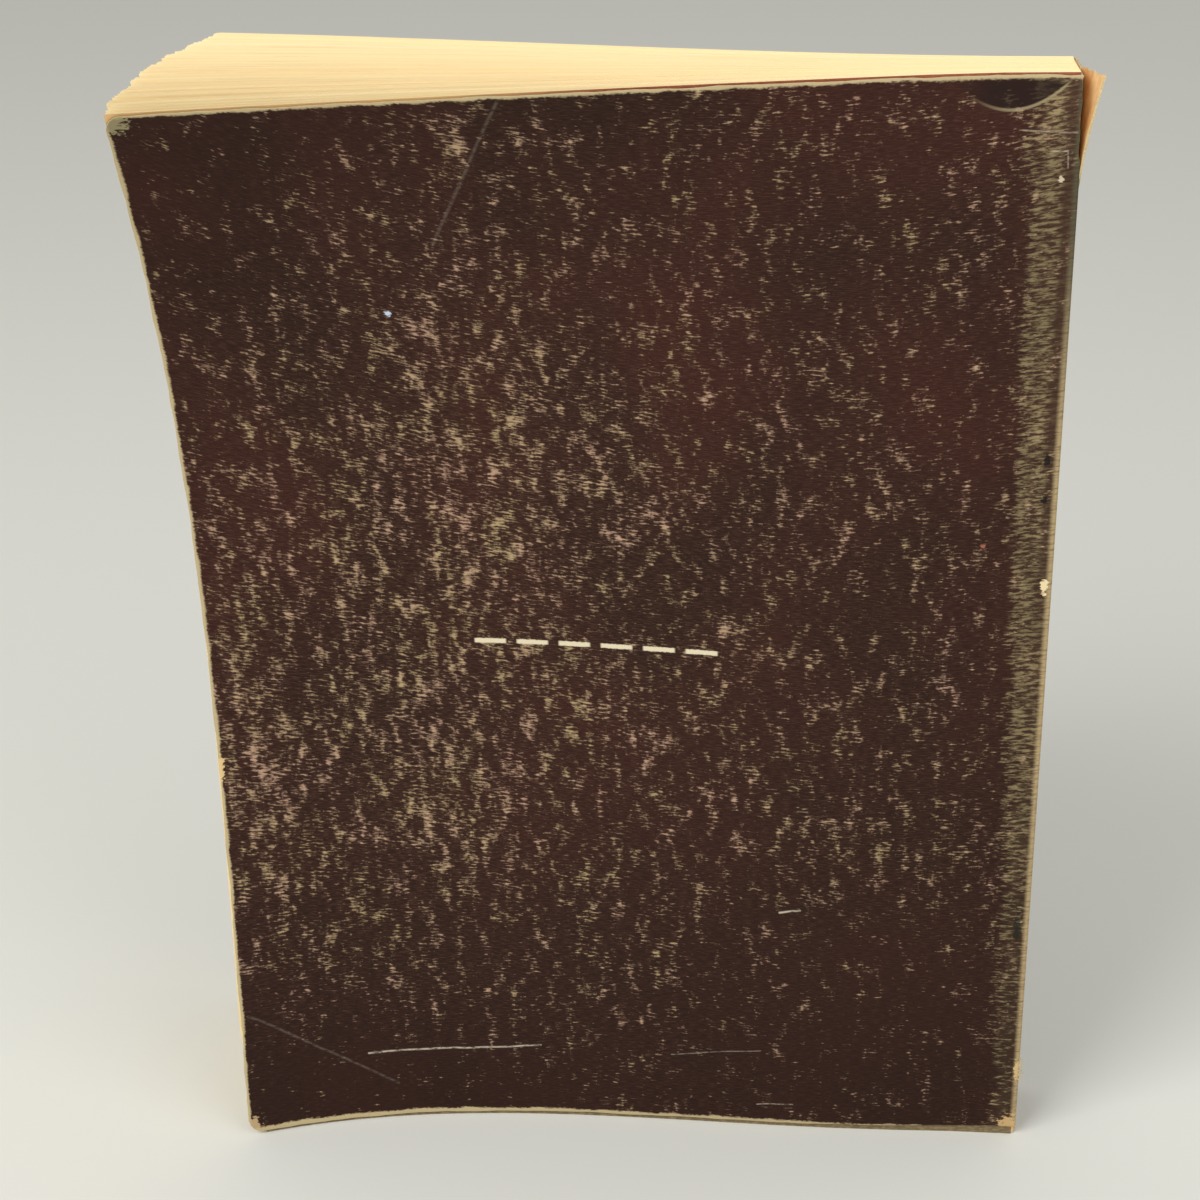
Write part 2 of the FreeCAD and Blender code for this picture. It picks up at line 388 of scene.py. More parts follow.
def leaf_places(flat):
    """Bends a flat stack of unit leaves, with one step a leaf, into the fan. The grid's lines
    are drawn closer together towards the head and the fore edge."""
    number = np.floor(flat[:, 2] + SOLID_SHARE / 2).astype(int)
    side = (flat[:, 2] - number) / SOLID_SHARE
    rise = 1 - (1 - flat[:, 1]) ** 1.25
    share = 1 - (1 - flat[:, 0]) ** 1.35
    worn_corner = LEAF_CORNER * ((flat[:, 0] > 0.999) & (flat[:, 1] < 0.001))
    s = share * (PAGE_WIDTH + fore_slip[number] * share) - worn_corner
    t = rise * (PAGE_HEIGHT + head_slip[number] * rise) + worn_corner
    opened = head_shares[number] * rise + tail_shares[number] * (1 - rise)
    place = spine_shares[number] + (opened - spine_shares[number]) * share ** 1.2
    inset = 0.5 * LEAF / BLOCK
    x, y, z, angle = fan_place(inset + place * (1 - 2 * inset), s, t).T
    over = np.maximum(t - PAGE_HEIGHT, 0)
    past = np.maximum(s - PAGE_WIDTH, 0)
    offset = (side - 0.5) * LEAF
    x = x + offset * np.sin(angle) - past * np.cos(angle)
    y = y + offset * np.cos(angle) + past * np.sin(angle)
    return np.stack([x, y, z + over], axis=1), number, s, t


def make_leaves():
    """All the leaves as one mesh. The last leaf's outer side has a finish of its own."""
    bm = bmesh.new()
    for number in range(LEAVES):
        bmesh.ops.create_grid(bm, x_segments=LEAF_COLUMNS, y_segments=LEAF_ROWS, size=0.5,
                              matrix=Matrix.Translation((0.5, 0.5, number)))
    thicken(bm, SOLID_SHARE, 0)
    mesh = finished(bm, "leaves")
    for face in mesh.polygons:
        face.material_index = 1 if face.center.z < 0.01 else 0
    places, number, s, t = leaf_places(mesh_points(mesh))
    place_sheet(mesh, np.stack([s, t, number * LEAF], axis=1), places)
    shade_smooth(mesh, SHARP_ANGLE)
    obj = new_object("leaves", mesh)
    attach(obj, "block")
    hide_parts("page_block")
    return obj


leaves = make_leaves()
print("leaves", len(leaves.data.polygons), "faces")

# %% [markdown]
# The cover card
# One sheet of card, folded round the spine. It is made as three pieces: the two covers, each
# with its half of the fold, and the spine between them. The two cover pieces bend smoothly from
# the spine to the cover at the fold. Old folds are rounded, so the sheet follows a quarter
# circle from the cover to the spine. Its place on the sheet is counted from the corner of the
# block: s is positive on the cover and negative round the fold and over the spine.

# %% Folded card
FOLD_ROUND = (COVER_CLEARANCE + CARD / 2) * math.pi / 2
FOLD_END = HINGE_GAP + FOLD_ROUND       # where the fold ends and the flat spine begins
SEAM = FOLD_END + 1.2 * MM              # where a cover piece meets the spine piece


def card_place(flat, side):
    """Bends the folded card. flat holds s, t and depth out of the block. side is 0 at the
    back of the book and 1 at the front."""
    s, t, depth = flat.T
    outward = 2 * side - 1
    x, y, z, angle = fan_place(side, np.maximum(s, 0), t).T
    past = np.maximum(s - PAGE_WIDTH, 0)
    x = x + outward * depth * np.sin(angle) - past * np.cos(angle)
    y = y + outward * depth * np.cos(angle) + past * np.sin(angle)
    u = np.maximum(-s, 0)
    turn = np.clip((u - HINGE_GAP) / (FOLD_END - HINGE_GAP), 0, 1) * math.pi / 2
    round_x = np.minimum(u, HINGE_GAP) + depth * np.sin(turn)
    round_y = depth * np.cos(turn) - np.maximum(u - FOLD_END, 0)
    corner_y = BACK_Y + side * BLOCK
    on_spine = s < 0
    x = np.where(on_spine, SPINE_X + round_x, x)
    y = np.where(on_spine, corner_y + outward * round_y, y)
    z = np.where(on_spine, t, z)
    return np.stack([x, y, z], axis=1)


print("card round each fold", round(FOLD_ROUND / MM, 2), "mm")

# %% Covers
HEAD_GAP = 0.4 * MM            # the cover's head edge is this much lower than the leaves'
TAIL_GAP = 1.5 * MM
SPINE_TAIL_LIFT = 1.2 * MM     # how much higher the tail edge is at the spine
LIFT_REACH = 35.0 * MM
FORE_TAIL_DROP = 0.7 * MM      # how much lower it is at the fore edge
COVER_CORNER = 4.5 * MM
RIM_ROUND = 0.12 * MM
EDGE_WEAR = 0.25 * MM          # how far the head and tail edges wander
FORE_WEAR = 0.3 * MM
FOLD_PART = 0.5 * MM           # where the fine columns over the fold end
COVER_ROWS = 118
FOLD_COLUMNS, PLAIN_COLUMNS = 12, 96
TEAR = 27.0 * MM               # height of the tear between the back cover and the spine
TEAR_FOOT = PAGE_HEIGHT - TEAR
TEAR_START = 9.0 * MM          # the tear opens over this much height
TORN_EDGE = -0.3 * MM          # where the cover's torn edge lies


def cover_columns():
    """Columns of a cover's grid, close together over the fold."""
    fold = np.linspace(-SEAM, FOLD_PART, FOLD_COLUMNS)
    return np.concatenate([fold, eased(FOLD_PART, PAGE_WIDTH, PLAIN_COLUMNS)[1:]])


def cover_tail(s):
    """The worn tail edge of a cover."""
    lift = SPINE_TAIL_LIFT * math.exp(-(max(s, 0) / LIFT_REACH) ** 2)
    drop = FORE_TAIL_DROP * (max(s, 0) / PAGE_WIDTH) ** 2
    return TAIL_GAP + lift - drop + EDGE_WEAR * wave(3, s, 40 * MM)


def wear_edges(bm, side, torn):
    """Moves a flat cover's points to its worn head, tail, fore and torn edges."""
    for vert in bm.verts:
        share = vert.co.y / PAGE_HEIGHT
        low = cover_tail(vert.co.x)
        high = PAGE_HEIGHT - HEAD_GAP + EDGE_WEAR * wave(5 + side, vert.co.x, 30 * MM)
        fore = max(vert.co.x, 0) / PAGE_WIDTH
        inner = max(0.0, 1 - fore * 8)
        vert.co.y = low + (high - low) * share
        vert.co.x += FORE_WEAR * wave(9 + side, vert.co.y, 35 * MM) * max(0.0, 8 * fore - 7)
        if torn and vert.co.y > TEAR_FOOT and vert.co.x < FOLD_PART:
            share_up = min(1.0, (vert.co.y - TEAR_FOOT) / TEAR_START)
            pull = 0.15 * MM + 0.3 * MM * wave(21, vert.co.y, 7 * MM)
            vert.co.x += ((TORN_EDGE - vert.co.x) * 0.85 + pull * inner) * share_up


def make_cover(name, side, torn):
    """A cover with its half of the fold. side is 0 at the back of the book, 1 at the front."""
    bm = bmesh.new()
    flat_grid(bm, cover_columns(), eased(0, PAGE_HEIGHT, COVER_ROWS))
    wear_edges(bm, side, torn)
    clip_corner(bm, (PAGE_WIDTH, PAGE_HEIGHT - HEAD_GAP), (-1, -1), COVER_CORNER)
    clip_corner(bm, (PAGE_WIDTH, TAIL_GAP - FORE_TAIL_DROP), (-1, 1), COVER_CORNER)
    thicken(bm, CARD, 1)
    soften_rim(bm, CARD, RIM_ROUND)
    mesh = finished(bm, name)
    flat = mesh_points(mesh)
    place_sheet(mesh, flat, card_place(flat + (0, 0, COVER_CLEARANCE), side))
    shade_smooth(mesh, SHARP_ANGLE)
    obj = new_object(name, mesh)
    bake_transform(obj)
    return obj


back_card = make_cover("back_card", 0, True)
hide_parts("back_cover")
front_card = make_cover("front_card", 1, False)
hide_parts("front_cover")
print("covers", len(back_card.data.polygons), len(front_card.data.polygons), "faces")

# %% [markdown]
# The spine, the glue and some torn shreds
# The spine piece closes the gap between the two folds. At its head it is torn from the back
# cover, and its corner flares out, so that the old glue shows. Near the tail the fold is
# rubbed through, and a few shreds of card stand out of it.

# %% Spine
PANEL_GAP = 0.5 * MM           # from the spine piece's ends to the block's
TEAR_FLARE = 4.5 * MM          # how far the torn corner stands out
TORN_SHARE = 0.7               # how far across the spine it reaches
SPINE_TEAR_START = 3.0 * MM
SPINE_GRID = (25, 141)


def make_spine():
    """The card over the spine. Its corner at the head is torn free and stands out."""
    bm = bmesh.new()
    seam = SEAM - FOLD_END
    flat_grid(bm, eased(0, 1, SPINE_GRID[0]), eased(PANEL_GAP, PAGE_HEIGHT - PANEL_GAP, SPINE_GRID[1]))
    for vert in bm.verts:
        height = vert.co.y
        torn = min(1.0, max(0.0, (height - TEAR_FOOT) / SPINE_TEAR_START))
        low = seam + torn * (-0.2 * MM + 0.35 * MM * wave(31, height, 6 * MM) - seam)
        high = BLOCK - seam
        vert.co.x = low + (high - low) * vert.co.x
        top = max(0.0, (height - TEAR_FOOT) / TEAR)
        vert.co.y += 0.8 * MM * wave(33, vert.co.x, 9 * MM) * top ** 8
    thicken(bm, CARD, 2)
    mesh = finished(bm, "spine_card")
    flat = mesh_points(mesh) + (0, 0, GLUE)
    torn = np.clip(1 - (PAGE_HEIGHT - PANEL_GAP - flat[:, 1]) / TEAR, 0, 1)
    across = (flat[:, 0] + COVER_CLEARANCE) / (BLOCK + 2 * COVER_CLEARANCE)
    flare = TEAR_FLARE * torn ** 1.5 * np.maximum(0, 1 - across / TORN_SHARE) ** 2
    places = np.stack([SPINE_X + flat[:, 2] + flare, BACK_Y + flat[:, 0], flat[:, 1]], axis=1)
    place_sheet(mesh, np.stack([-FOLD_END - flat[:, 0], flat[:, 1], flat[:, 2]], axis=1), places)
    shade_smooth(mesh, SHARP_ANGLE)
    obj = new_object("spine_card", mesh)
    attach(obj, "block")
    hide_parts("spine_panel")
    return obj


spine_card = make_spine()
print("spine", len(spine_card.data.polygons), "faces, torn", round(TEAR / MM), "mm down")

# %% Glue
GLUE_GRID = (17, 161)


def make_glue():
    """Old glue on the backs of the leaves: a thin film with low lumps."""
    bm = bmesh.new()
    flat_grid(bm, eased(0, BLOCK - 2 * BINDING_INSET, GLUE_GRID[0]),
              eased(PANEL_GAP, PAGE_HEIGHT - PANEL_GAP, GLUE_GRID[1]))
    thicken(bm, GLUE, 0)
    mesh = finished(bm, "glue_film")
    flat = mesh_points(mesh)
    lump = np.array([wave(41, a * 3 + b, 5 * MM) + wave(43, b * 2 - a, 3 * MM) for a, b, _ in flat])
    outer = flat[:, 2] > GLUE / 2
    depth = np.where(outer, GLUE * (0.75 + 0.1 * lump), 0)
    places = np.stack([SPINE_X + depth, BACK_Y + BINDING_INSET + flat[:, 0], flat[:, 1]], axis=1)
    place_sheet(mesh, flat, places)
    obj = new_object("glue_film", mesh)
    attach(obj, "block")
    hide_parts("spine_glue")
    return obj


glue_film = make_glue()
print("glue", len(glue_film.data.polygons), "faces")

# %% Torn tufts
TUFTS = 9
TUFT_AT, TUFT_SPREAD = 21.0 * MM, 6.5 * MM
TUFT_ROOT, TUFT_TIP = 0.4 * MM, 0.08 * MM       # radius at each end
TUFT_FLATNESS = 0.5
TUFT_SHARP_ANGLE = 50


def make_tufts():
    """Small shreds of bare card that stand out of the fold near the tail."""
    rng = np.random.default_rng(12)
    bm = bmesh.new()
    for _ in range(TUFTS):
        height = TUFT_AT + rng.uniform(-0.5, 0.5) * TUFT_SPREAD
        root = Vector((SPINE_X + GLUE + 0.3 * MM, BACK_Y - 0.35 * MM, height))
        lean = Vector((rng.uniform(0.6, 1.2), rng.uniform(-0.7, -0.1), rng.uniform(-0.9, 0.9)))
        turn = lean.to_track_quat("Z", "Y").to_matrix().to_4x4()
        long = rng.uniform(0.9, 1.9) * MM
        place = Matrix.Translation(root) @ turn @ Matrix.Translation((0, 0, long / 2))
        bmesh.ops.create_cone(bm, cap_ends=True, segments=6, radius1=TUFT_ROOT, radius2=TUFT_TIP,
                              depth=long, matrix=place @ Matrix.Diagonal((1.0, TUFT_FLATNESS, 1.0, 1.0)))
    mesh = finished(bm, "fold_tufts")
    places = mesh_points(mesh)
    place_sheet(mesh, places, places)
    shade_smooth(mesh, TUFT_SHARP_ANGLE)
    obj = new_object("fold_tufts", mesh)
    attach(obj, "block")
    return obj


fold_tufts = make_tufts()
print("tufts", TUFTS)

# %% [markdown]
# Finishes
# A finish is a small graph of nodes, and it reads the place on the flat sheet, in
# millimetres, so that streaks and scratches have their real size and follow the bent card.
# A few helpers keep the graphs short, so that each one reads like a recipe.

# %% Recipe helpers


def srgb(red, green, blue):
    """A colour as a painter reads it from a screen, 0 to 255, made linear for the shader."""
    linear = []
    for value in (red, green, blue):
        value = value / 255
        linear.append(value / 12.92 if value <= 0.04045 else ((value + 0.055) / 1.055) ** 2.4)
    return (*linear, 1.0)


class Recipe:
    """Adds nodes to a tree and joins them up."""

    def __init__(self, tree):
        self.tree = tree

    def feed(self, socket, value):
        if isinstance(value, bpy.types.NodeSocket):
            self.tree.links.new(value, socket)
        else:
            socket.default_value = value

    def node(self, kind, inputs, **settings):
        made = self.tree.nodes.new(kind)
        for name, value in settings.items():
            setattr(made, name, value)
        for key, value in inputs.items():
            self.feed(made.inputs[key], value)
        return made

    def maths(self, operation, one, two=0.0, three=0.0):
        return self.node("ShaderNodeMath", {0: one, 1: two, 2: three}, operation=operation).outputs[0]

    def vector(self, operation, one, two=(0, 0, 0), three=(0, 0, 0)):
        made = self.node("ShaderNodeVectorMath", {0: one, 1: two, 2: three}, operation=operation)
        return made.outputs["Value" if operation in ("LENGTH", "DOT_PRODUCT") else "Vector"]

    def noise(self, place, stretch, shift=(0, 0, 0), detail=2.0, roughness=0.5):
        """Noise whose grains are one over stretch millimetres long each way."""
        moved = self.vector("MULTIPLY_ADD", place, stretch, shift)
        return self.node("ShaderNodeTexNoise", {"Vector": moved, "Scale": 1.0, "Detail": detail,
                                                "Roughness": roughness}).outputs[0]

    def ramp(self, value, low, high, start=0.0, end=1.0):
        """A smooth step from start to end while the value goes from low to high."""
        made = self.node("ShaderNodeMapRange", {0: value, 1: low, 2: high, 3: start, 4: end},
                         interpolation_type="SMOOTHSTEP")
        return made.outputs[0]

    def mix(self, mask, one, two):
        return self.node("ShaderNodeMix", {0: mask, 6: one, 7: two}, data_type="RGBA").outputs[2]

    def split(self, place):
        made = self.node("ShaderNodeSeparateXYZ", {0: place})
        return made.outputs[0], made.outputs[1], made.outputs[2]

    def flat(self):
        """The place on the flat sheet, in millimetres."""
        made = self.node("ShaderNodeAttribute", {}, attribute_name="flat")
        return self.vector("MULTIPLY", made.outputs["Vector"], (1 / MM,) * 3)

    def group(self, tree, **inputs):
        made = self.node("ShaderNodeGroup", {}, node_tree=tree)
        for name, value in inputs.items():
            self.feed(made.inputs[name], value)
        return made.outputs[0]

    def bump(self, shader, height, strength, distance):
        """Small relief on the surface, lit as if it were that high."""
        made = self.node("ShaderNodeBump", {"Height": height, "Strength": strength, "Distance": distance})
        self.feed(shader.inputs["Normal"], made.outputs[0])


def effect(name, sockets, recipe):
    """A shared effect: a node group with named inputs and one mask or value out."""
    tree = bpy.data.node_groups.new(name, "ShaderNodeTree")
    for socket, kind in sockets.items():
        tree.interface.new_socket(name=socket, in_out="INPUT", socket_type="NodeSocket" + kind)
    tree.interface.new_socket(name="Mask", in_out="OUTPUT", socket_type="NodeSocketFloat")
    start, end = tree.nodes.new("NodeGroupInput"), tree.nodes.new("NodeGroupOutput")
    mask = recipe(Recipe(tree), *[start.outputs[socket] for socket in sockets])
    tree.links.new(mask, end.inputs["Mask"])
    return tree


# %% [markdown]
# Rubbed card
# Cheap coated card wears through in short dashes along its fibres. The dashes gather in
# upright clumps, where the book was handled, and between them lies a finer haze. One
# effect makes the dashes for any sheet, and its amount says how worn the place is. Two more
# place a soft patch and a scratch, and the last one frays a border.

# %% Shared effects


def rubbed_dashes(r, place, amount):
    """1 on the worn dashes, which grow denser with the amount."""
    dashes = r.noise(place, (0.42, 1.9, 1), detail=3, roughness=0.6)
    clumps = r.noise(place, (0.27, 0.15, 1), (40, 11, 5), detail=3, roughness=0.6)
    patches = r.noise(place, (0.055, 0.03, 1), (7, 60, 9), detail=2)
    worn = r.maths("MULTIPLY_ADD", clumps, 0.85, amount)
    worn = r.maths("MULTIPLY_ADD", patches, 0.18, worn)
    level = r.maths("ADD", dashes, worn)
    return r.ramp(level, 1.14, 1.4)


def soft_patch(r, place, centre, reach):
    """1 at the centre, fading to 0 at the reach."""
    away = r.vector("DIVIDE", r.vector("SUBTRACT", place, centre), reach)
    return r.ramp(r.vector("LENGTH", away), 1.0, 0.0)


def scratch_line(r, place, start, end, width):
    """1 on a line from start to end that wanders a little, and 0 off it."""
    sway = r.noise(place, (0.06, 0.06, 1), detail=1)
    s, t, _ = r.split(place)
    moved = r.maths("MULTIPLY_ADD", sway, 2.0, r.maths("SUBTRACT", t, 1.0))
    place = r.node("ShaderNodeCombineXYZ", {0: s, 1: moved, 2: 0.0}).outputs[0]
    line = r.vector("SUBTRACT", end, start)
    here = r.vector("SUBTRACT", place, start)
    share = r.maths("DIVIDE", r.vector("DOT_PRODUCT", here, line), r.vector("DOT_PRODUCT", line, line))
    share = r.node("ShaderNodeClamp", {0: share}).outputs[0]
    scaled = r.node("ShaderNodeVectorMath", {0: line, 3: share}, operation="SCALE").outputs[0]
    away = r.vector("LENGTH", r.vector("SUBTRACT", here, scaled))
    skips = r.noise(place, (0.5, 1.2, 1), (2, 5, 8), detail=3, roughness=0.65)
    return r.maths("MULTIPLY", r.ramp(away, width, 0.0), r.ramp(skips, 0.36, 0.56, 0.15, 1.0))


def frayed_border(r, place, distance, width):
    """1 at a border, fraying out over about the width."""
    broad = r.noise(place, (0.16, 0.16, 1), (3, 8, 2), detail=3, roughness=0.6)
    fine = r.noise(place, (0.9, 2.2, 1), (9, 1, 4), detail=2, roughness=0.6)
    rough = r.maths("ADD", r.maths("MULTIPLY", broad, 2.6), r.maths("MULTIPLY", fine, 1.6))
    reach = r.maths("MULTIPLY", width, r.maths("SUBTRACT", rough, 1.2))
    return r.ramp(distance, r.maths("ADD", reach, 0.35), r.maths("MULTIPLY", reach, 0.6))


PLACE = {"Place": "Vector"}
DASHES = effect("rubbed_dashes", {**PLACE, "Amount": "Float"}, rubbed_dashes)
PATCH = effect("soft_patch", {**PLACE, "Centre": "Vector", "Reach": "Vector"}, soft_patch)
SCRATCH = effect("scratch_line", {**PLACE, "Start": "Vector", "End": "Vector", "Width": "Float"},
                 scratch_line)
FRAY = effect("frayed_border", {**PLACE, "Distance": "Float", "Width": "Float"}, frayed_border)
print("effects", [tree.name for tree in bpy.data.node_groups])

# %% [markdown]
# The printed side of the cover
# A dark red-brown print with a low gloss, nearly black towards the tail. Wear is heaviest
# left of the middle and along the spine, where the card is rubbed to a grey olive. Edges
# are frayed to the pale card. Where the cover's line of print was, there is a plain broken
# rule. Each placed mark is one line here: its place on the sheet and its size, in
# millimetres from the spine and from the tail.

# %% Places of the wear
WORN_PATCHES = (               # centre, reach and how much more it is worn
    ((150, 150), (95, 150), 0.07),
    ((130, 185), (60, 60), 0.03),
    ((175, 95), (50, 60), 0.04),
    ((60, 130), (60, 110), 0.02),
    ((207, 110), (18, 90), 0.08),
    ((139, 268), (4, 12), 0.14),
    ((215, 262), (70, 60), -0.05),
    ((185, 0), (110, 42), -0.11),
    ((40, 20), (90, 70), -0.05),
)
MARKS = (                      # centre, reach, colour and strength
    ((2, 64), (2, 9), (30, 32, 24), 0.8),
    ((2, 190), (1.4, 3), (20, 18, 16), 0.9),
    ((2, 180), (1.4, 2.2), (20, 18, 16), 0.9),
    ((0.8, 158), (1.8, 3.6), (226, 206, 162), 0.95),
    ((16, 168), (1.3, 1), (190, 110, 90), 0.6),
    ((160, 223.5), (1.6, 1.3), (190, 205, 225), 0.9),
    ((215.8, 104), (2.4, 6), (214, 184, 132), 0.95),
    ((215, 278), (8, 7), (150, 140, 105), 0.85),
    ((215, 2.5), (5, 6), (186, 160, 120), 0.85),
    ((1, 3.5), (5, 5.5), (196, 164, 114), 0.9),
    ((-0.4, 21), (1.6, 6), (204, 174, 124), 0.9),
    ((3, 256), (1.1, 1.3), (215, 200, 170), 0.7),
)
SCRATCHES = (                  # from, to, width and strength
    ((180.9, 19.5), (132, 20.5), 0.42, 0.75),
    ((95, 20.2), (70, 22.5), 0.25, 0.3),
    ((65, 64.5), (59.5, 65.5), 0.45, 0.8),
    ((71, 6.5), (61, 7.4), 0.3, 0.4),
    ((214, 34), (173, 10), 0.6, 0.09),
    ((128, 279), (147, 241), 0.7, 0.09),
    ((12, 267), (0, 266.6), 0.35, 0.3),
    ((5.5, 262.5), (1.8, 262.7), 0.3, 0.5),
    ((1.8, 262.7), (1.6, 258.8), 0.3, 0.35),
)
RULE_BARS = 6
RULE_FROM, RULE_TO, RULE_HEIGHT, RULE_AT = 80.0, 147.0, 1.2, 136.0
DENT_S, DENT_T = 15.0, 271.4   # the lowest point of the curved crease
DENT_CURVE = 0.038
print("wear", len(WORN_PATCHES), "worn patches,", len(MARKS), "marks,", len(SCRATCHES), "scratches")

# %% Printed card finish
BASE_WEAR = 0.045
FIBRE_LEAN = -5e-6
FRAY_WIDTH = 0.75
COVER_GLOSS = 0.12


def leaning(r, place):
    """The place with its fibres leaning a little, more so towards the fore edge's head."""
    s, t, _ = r.split(place)
    from_middle = r.maths("SUBTRACT", s, 60.0)
    lean = r.maths("MULTIPLY", r.maths("MULTIPLY", from_middle, from_middle), t)
    leant = r.maths("MULTIPLY_ADD", lean, FIBRE_LEAN, t)
    return r.node("ShaderNodeCombineXYZ", {0: s, 1: leant, 2: 0.0}).outputs[0]


def border_distance(r, s, t):
    """How far a place on a cover is from its head, tail and fore edges."""
    below_head = r.maths("SUBTRACT", (PAGE_HEIGHT - HEAD_GAP) / MM, t)
    above_tail = r.maths("SUBTRACT", t, TAIL_GAP / MM)
    nearest = r.maths("MINIMUM", below_head, above_tail)
    return r.maths("MINIMUM", nearest, r.maths("SUBTRACT", PAGE_WIDTH / MM, s))


def broken_rule(r, place, s, t):
    """A row of plain equal bars where the cover's line of print was."""
    pitch = (RULE_TO - RULE_FROM) / RULE_BARS
    along = r.maths("FRACT", r.maths("DIVIDE", r.maths("SUBTRACT", s, RULE_FROM), pitch))
    bars = r.maths("MULTIPLY", r.ramp(along, 0.1, 0.16), r.ramp(along, 0.9, 0.84))
    inside = r.maths("MULTIPLY", r.maths("GREATER_THAN", s, RULE_FROM), r.maths("LESS_THAN", s, RULE_TO))
    sideways = r.maths("ABSOLUTE", r.maths("SUBTRACT", t, RULE_AT))
    rough = r.noise(place, (1.3, 1.3, 1), detail=3)
    edge = r.maths("MULTIPLY_ADD", rough, 0.5, sideways)
    high = r.ramp(edge, RULE_HEIGHT / 2 + 0.4, RULE_HEIGHT / 2 + 0.1)
    return r.maths("MULTIPLY", r.maths("MULTIPLY", bars, inside), high)


def curved_dent(r, s, t):
    """The dark dent by the head of the spine, and the pale curved crease below it."""
    away = r.maths("SUBTRACT", s, DENT_S)
    crease = r.maths("MULTIPLY_ADD", r.maths("MULTIPLY", away, away), DENT_CURVE, DENT_T)
    over = r.maths("SUBTRACT", t, crease)
    inside = r.maths("MULTIPLY", r.ramp(s, 2.0, 5.0), r.ramp(s, 30.0, 18.0))
    above = r.maths("MULTIPLY", r.ramp(over, 0.0, 0.8), r.ramp(t, 278.6, 277.4))
    above = r.maths("MULTIPLY", above, inside)
    line = r.maths("MULTIPLY", r.ramp(r.maths("ABSOLUTE", over), 0.55, 0.1), r.ramp(s, 26.0, 12.0))
    return above, r.maths("MULTIPLY", line, r.ramp(s, 1.0, 4.0))


